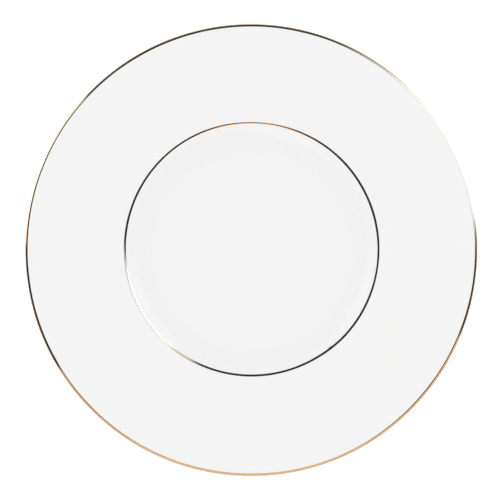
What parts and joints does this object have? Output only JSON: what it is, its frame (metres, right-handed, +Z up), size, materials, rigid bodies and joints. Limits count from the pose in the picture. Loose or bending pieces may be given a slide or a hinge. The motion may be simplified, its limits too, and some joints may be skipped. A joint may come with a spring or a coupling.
{
  "type": "china dinner plate",
  "caption": "Round rim-shape china dinner plate with a shallow well, a foot ring, a gold band around the lip and a thin gold line on the shoulder of the well.",
  "frame": {"origin": "centre of the plate on the table plane, under the foot ring", "axes": "+Z up along the axis the plate is turned about, out of its face; the plate is round, so +X and +Y only fix the radial directions"},
  "size_m": [0.2703, 0.2702, 0.0208],
  "materials": {
    "china_body": "unglazed fired china, ground smooth on the foot land",
    "glaze": "clear gloss glaze over white china",
    "gold": "bright burnished gold, brushed round the plate and fired on"
  },
  "bodies": {
    "root": {"china_body": "china_body", "glaze_coat": "glaze", "base_glaze": "glaze", "rim_gold_band": "gold", "verge_gold_line": "gold"}
  },
  "joints": []
}
